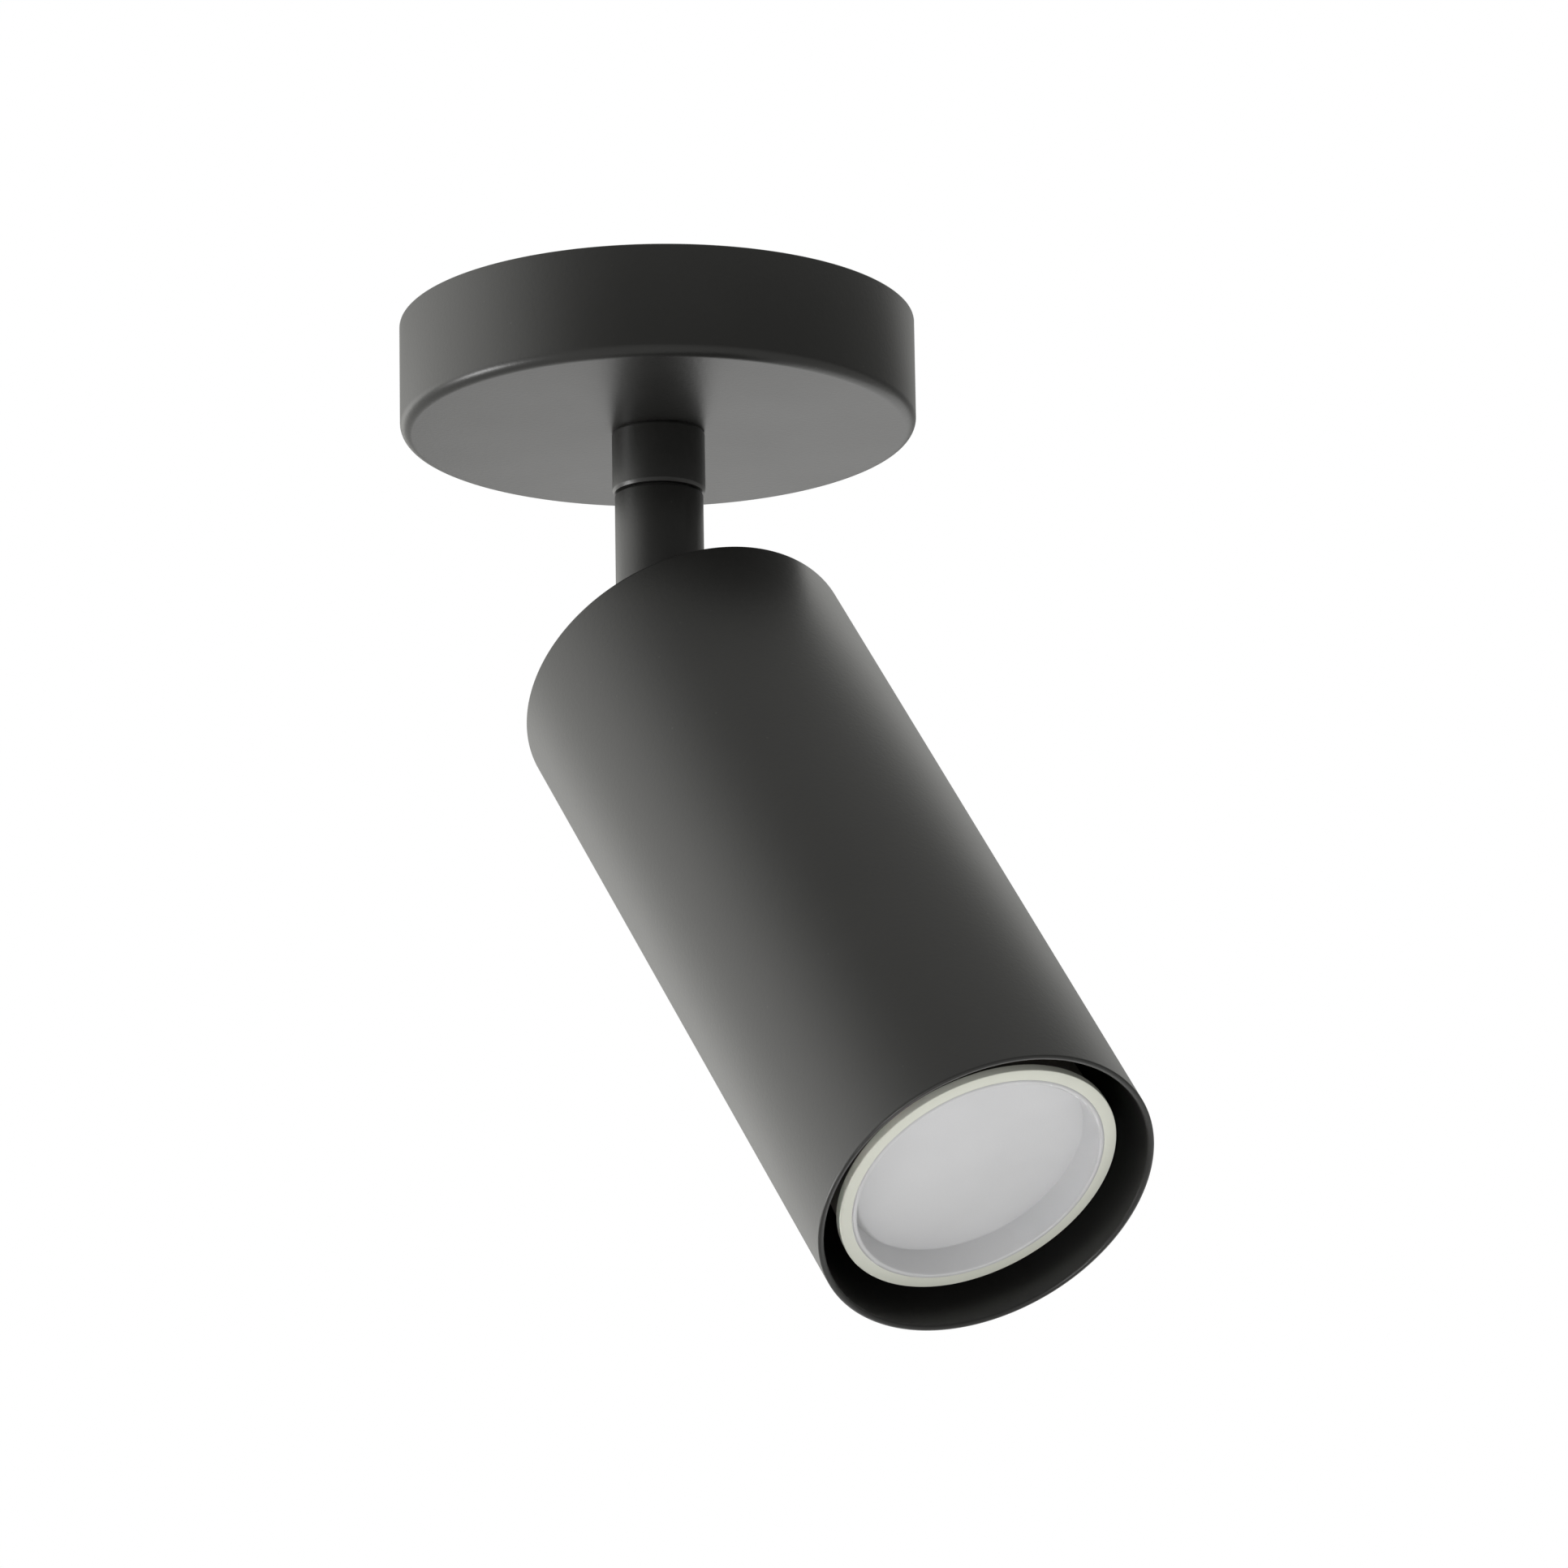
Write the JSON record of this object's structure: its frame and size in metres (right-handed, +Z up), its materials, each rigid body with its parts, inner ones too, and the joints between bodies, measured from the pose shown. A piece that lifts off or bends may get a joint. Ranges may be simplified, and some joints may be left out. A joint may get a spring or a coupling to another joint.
{
  "type": "surface mounted ceiling spotlight",
  "caption": "Black ceiling spotlight: a drawn round rose, a collar and slim stem that swivel, and a tilting knuckle with a long cylindrical head around a recessed twist-lock lamp.",
  "frame": {"origin": "centre of the slotted screw pattern, on the ceiling plane and on the rose's axis", "axes": "+Z up into the ceiling, +X along the strap and the tilt pivot, and the head leans towards -Y"},
  "size_m": [0.091, 0.1605, 0.194],
  "materials": {
    "black_paint": "fine satin powder coat, black",
    "black_plastic": "black nylon",
    "black_steel": "blackened steel screw",
    "zinc": "zinc plated steel",
    "brass": "plain brass",
    "ceramic": "glazed white ceramic",
    "block_white": "white moulded block",
    "brown_lead": "brown heat-proof sleeve",
    "blue_lead": "blue heat-proof sleeve",
    "earth_lead": "green and yellow sleeve",
    "lamp_shell": "pale warm white moulding",
    "lamp_housing": "dim grey housing",
    "frosted": "frosted diffuser",
    "board": "white circuit board",
    "led": "yellow phosphor"
  },
  "bodies": {
    "ceiling_mount": {"rose": "black_paint", "mounting_strap": "zinc", "nipple": "zinc", "nipple_nuts": "zinc", "nipple_lock_washer": "zinc", "collar_nut": "black_paint", "terminal_block": "block_white", "terminal_clamps": "brass", "terminal_screws": "zinc", "terminal_fixing_screw": "zinc", "earth_screw": "brass", "earth_ring": "brass", "live_lead_rose": "brown_lead", "neutral_lead_rose": "blue_lead", "earth_lead_rose": "earth_lead"},
    "stem": {"stem": "black_paint", "swivel_washer": "black_plastic", "swivel_grub_screw": "black_steel", "live_lead_stem": "brown_lead", "neutral_lead_stem": "blue_lead", "earth_lead_stem": "earth_lead"},
    "head": {"knuckle": "black_paint", "pivot_screw": "black_steel", "pivot_spring_washer": "black_steel", "pivot_nut": "black_steel", "head_tube": "black_paint", "head_nut": "zinc", "head_lock_washer": "zinc", "holder_bracket": "zinc", "lampholder": "ceramic", "holder_face": "ceramic", "holder_screws": "zinc", "holder_nuts": "zinc", "holder_contacts": "brass", "live_lead_head": "brown_lead", "neutral_lead_head": "blue_lead", "earth_lead_head": "earth_lead", "head_earth_screw": "brass", "head_earth_ring": "brass", "head_earth_nut": "zinc"},
    "lamp": {"lamp_rim": "lamp_shell", "lamp_body": "lamp_housing", "lamp_diffuser": "frosted", "lamp_led_board": "board", "lamp_leds": "led", "lamp_driver": "board", "lamp_base": "lamp_housing", "lamp_pins": "zinc"}
  },
  "joints": [
    {"name": "swivel", "type": "hinge", "parent": "ceiling_mount", "child": "stem", "pos_m": [0, 0, -0.037], "axis": [0, 0, 1], "range_deg": [-165, 165]},
    {"name": "tilt", "type": "hinge", "parent": "stem", "child": "head", "pos_m": [0, 0, -0.0575], "axis": [-1, 0, 0], "range_deg": [-37.7, 52.3]},
    {"name": "lamp_twist", "type": "hinge", "parent": "head", "child": "lamp", "pos_m": [0, -0.08904, -0.1727], "axis": [0.0366, -0.5703, -0.8206], "range_deg": [0, 25]}
  ]
}
